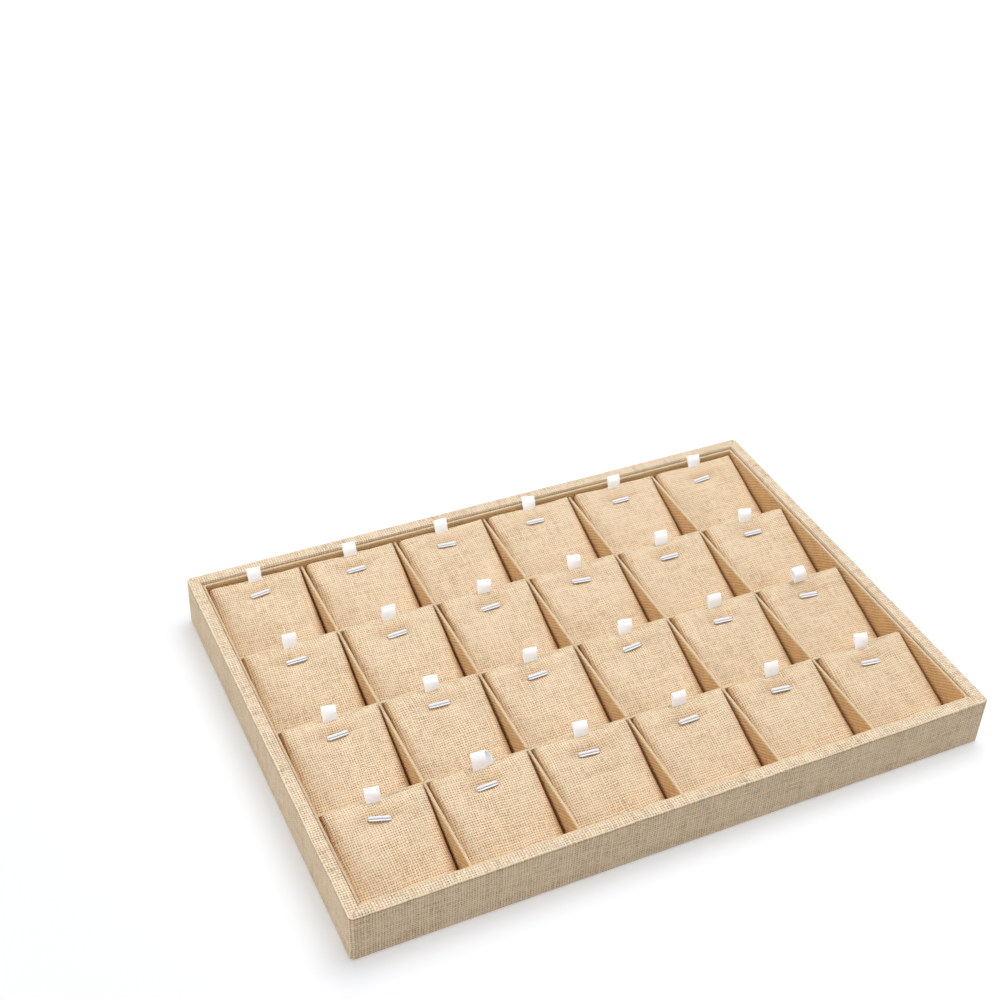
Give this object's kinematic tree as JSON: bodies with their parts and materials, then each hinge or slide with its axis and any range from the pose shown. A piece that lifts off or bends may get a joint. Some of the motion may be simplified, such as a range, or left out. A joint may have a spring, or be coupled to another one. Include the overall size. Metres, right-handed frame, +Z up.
{
  "type": "jewelry tray",
  "caption": "Open pendant display tray: burlap-covered box with an egg-crate of dividers and lift-out sloping pads, each with a folded steel clip and a satin pull loop.",
  "frame": {"origin": "centre of the underside, on the surface that the tray rests on", "axes": "+X along the tray's length to the right, +Y from the front to the rear where the pads are high, +Z up"},
  "size_m": [0.35, 0.25, 0.0352],
  "materials": {
    "covered_board": "wood-fibre board wrapped in natural jute burlap",
    "covered_card": "stiff card covered in natural jute cloth",
    "base_board": "raw wood-fibre board",
    "underside_sheet": "matt covering paper",
    "pad": "natural jute burlap over foam, with a white satin loop",
    "clip_steel": "bright plated spring steel"
  },
  "bodies": {
    "tray": {"base_cover": "underside_sheet", "base_board": "base_board", "front_wall": "covered_board", "rear_wall": "covered_board", "left_wall": "covered_board", "right_wall": "covered_board", "front_liner": "covered_card", "rear_liner": "covered_card", "left_liner": "covered_card", "right_liner": "covered_card", "column_dividers": "covered_card", "row_dividers": "covered_card"},
    "insert_r1c1": {"pad_r1c1": "pad", "clip_r1c1": "clip_steel"},
    "insert_r1c2": {"pad_r1c2": "pad", "clip_r1c2": "clip_steel"},
    "insert_r1c3": {"pad_r1c3": "pad", "clip_r1c3": "clip_steel"},
    "insert_r1c4": {"pad_r1c4": "pad", "clip_r1c4": "clip_steel"},
    "insert_r1c5": {"pad_r1c5": "pad", "clip_r1c5": "clip_steel"},
    "insert_r1c6": {"pad_r1c6": "pad", "clip_r1c6": "clip_steel"},
    "insert_r2c1": {"pad_r2c1": "pad", "clip_r2c1": "clip_steel"},
    "insert_r2c2": {"pad_r2c2": "pad", "clip_r2c2": "clip_steel"},
    "insert_r2c3": {"pad_r2c3": "pad", "clip_r2c3": "clip_steel"},
    "insert_r2c4": {"pad_r2c4": "pad", "clip_r2c4": "clip_steel"},
    "insert_r2c5": {"pad_r2c5": "pad", "clip_r2c5": "clip_steel"},
    "insert_r2c6": {"pad_r2c6": "pad", "clip_r2c6": "clip_steel"},
    "insert_r3c1": {"pad_r3c1": "pad", "clip_r3c1": "clip_steel"},
    "insert_r3c2": {"pad_r3c2": "pad", "clip_r3c2": "clip_steel"},
    "insert_r3c3": {"pad_r3c3": "pad", "clip_r3c3": "clip_steel"},
    "insert_r3c4": {"pad_r3c4": "pad", "clip_r3c4": "clip_steel"},
    "insert_r3c5": {"pad_r3c5": "pad", "clip_r3c5": "clip_steel"},
    "insert_r3c6": {"pad_r3c6": "pad", "clip_r3c6": "clip_steel"},
    "insert_r4c1": {"pad_r4c1": "pad", "clip_r4c1": "clip_steel"},
    "insert_r4c2": {"pad_r4c2": "pad", "clip_r4c2": "clip_steel"},
    "insert_r4c3": {"pad_r4c3": "pad", "clip_r4c3": "clip_steel"},
    "insert_r4c4": {"pad_r4c4": "pad", "clip_r4c4": "clip_steel"},
    "insert_r4c5": {"pad_r4c5": "pad", "clip_r4c5": "clip_steel"},
    "insert_r4c6": {"pad_r4c6": "pad", "clip_r4c6": "clip_steel"}
  },
  "joints": [
    {"name": "lift_r1c1", "type": "slide", "parent": "tray", "child": "insert_r1c1", "axis": [0, 0, 1], "range_m": [0, 0.045]},
    {"name": "lift_r1c2", "type": "slide", "parent": "tray", "child": "insert_r1c2", "axis": [0, 0, 1], "range_m": [0, 0.045]},
    {"name": "lift_r1c3", "type": "slide", "parent": "tray", "child": "insert_r1c3", "axis": [0, 0, 1], "range_m": [0, 0.045]},
    {"name": "lift_r1c4", "type": "slide", "parent": "tray", "child": "insert_r1c4", "axis": [0, 0, 1], "range_m": [0, 0.045]},
    {"name": "lift_r1c5", "type": "slide", "parent": "tray", "child": "insert_r1c5", "axis": [0, 0, 1], "range_m": [0, 0.045]},
    {"name": "lift_r1c6", "type": "slide", "parent": "tray", "child": "insert_r1c6", "axis": [0, 0, 1], "range_m": [0, 0.045]},
    {"name": "lift_r2c1", "type": "slide", "parent": "tray", "child": "insert_r2c1", "axis": [0, 0, 1], "range_m": [0, 0.045]},
    {"name": "lift_r2c2", "type": "slide", "parent": "tray", "child": "insert_r2c2", "axis": [0, 0, 1], "range_m": [0, 0.045]},
    {"name": "lift_r2c3", "type": "slide", "parent": "tray", "child": "insert_r2c3", "axis": [0, 0, 1], "range_m": [0, 0.045]},
    {"name": "lift_r2c4", "type": "slide", "parent": "tray", "child": "insert_r2c4", "axis": [0, 0, 1], "range_m": [0, 0.045]},
    {"name": "lift_r2c5", "type": "slide", "parent": "tray", "child": "insert_r2c5", "axis": [0, 0, 1], "range_m": [0, 0.045]},
    {"name": "lift_r2c6", "type": "slide", "parent": "tray", "child": "insert_r2c6", "axis": [0, 0, 1], "range_m": [0, 0.045]},
    {"name": "lift_r3c1", "type": "slide", "parent": "tray", "child": "insert_r3c1", "axis": [0, 0, 1], "range_m": [0, 0.045]},
    {"name": "lift_r3c2", "type": "slide", "parent": "tray", "child": "insert_r3c2", "axis": [0, 0, 1], "range_m": [0, 0.045]},
    {"name": "lift_r3c3", "type": "slide", "parent": "tray", "child": "insert_r3c3", "axis": [0, 0, 1], "range_m": [0, 0.045]},
    {"name": "lift_r3c4", "type": "slide", "parent": "tray", "child": "insert_r3c4", "axis": [0, 0, 1], "range_m": [0, 0.045]},
    {"name": "lift_r3c5", "type": "slide", "parent": "tray", "child": "insert_r3c5", "axis": [0, 0, 1], "range_m": [0, 0.045]},
    {"name": "lift_r3c6", "type": "slide", "parent": "tray", "child": "insert_r3c6", "axis": [0, 0, 1], "range_m": [0, 0.045]},
    {"name": "lift_r4c1", "type": "slide", "parent": "tray", "child": "insert_r4c1", "axis": [0, 0, 1], "range_m": [0, 0.045]},
    {"name": "lift_r4c2", "type": "slide", "parent": "tray", "child": "insert_r4c2", "axis": [0, 0, 1], "range_m": [0, 0.045]},
    {"name": "lift_r4c3", "type": "slide", "parent": "tray", "child": "insert_r4c3", "axis": [0, 0, 1], "range_m": [0, 0.045]},
    {"name": "lift_r4c4", "type": "slide", "parent": "tray", "child": "insert_r4c4", "axis": [0, 0, 1], "range_m": [0, 0.045]},
    {"name": "lift_r4c5", "type": "slide", "parent": "tray", "child": "insert_r4c5", "axis": [0, 0, 1], "range_m": [0, 0.045]},
    {"name": "lift_r4c6", "type": "slide", "parent": "tray", "child": "insert_r4c6", "axis": [0, 0, 1], "range_m": [0, 0.045]}
  ]
}
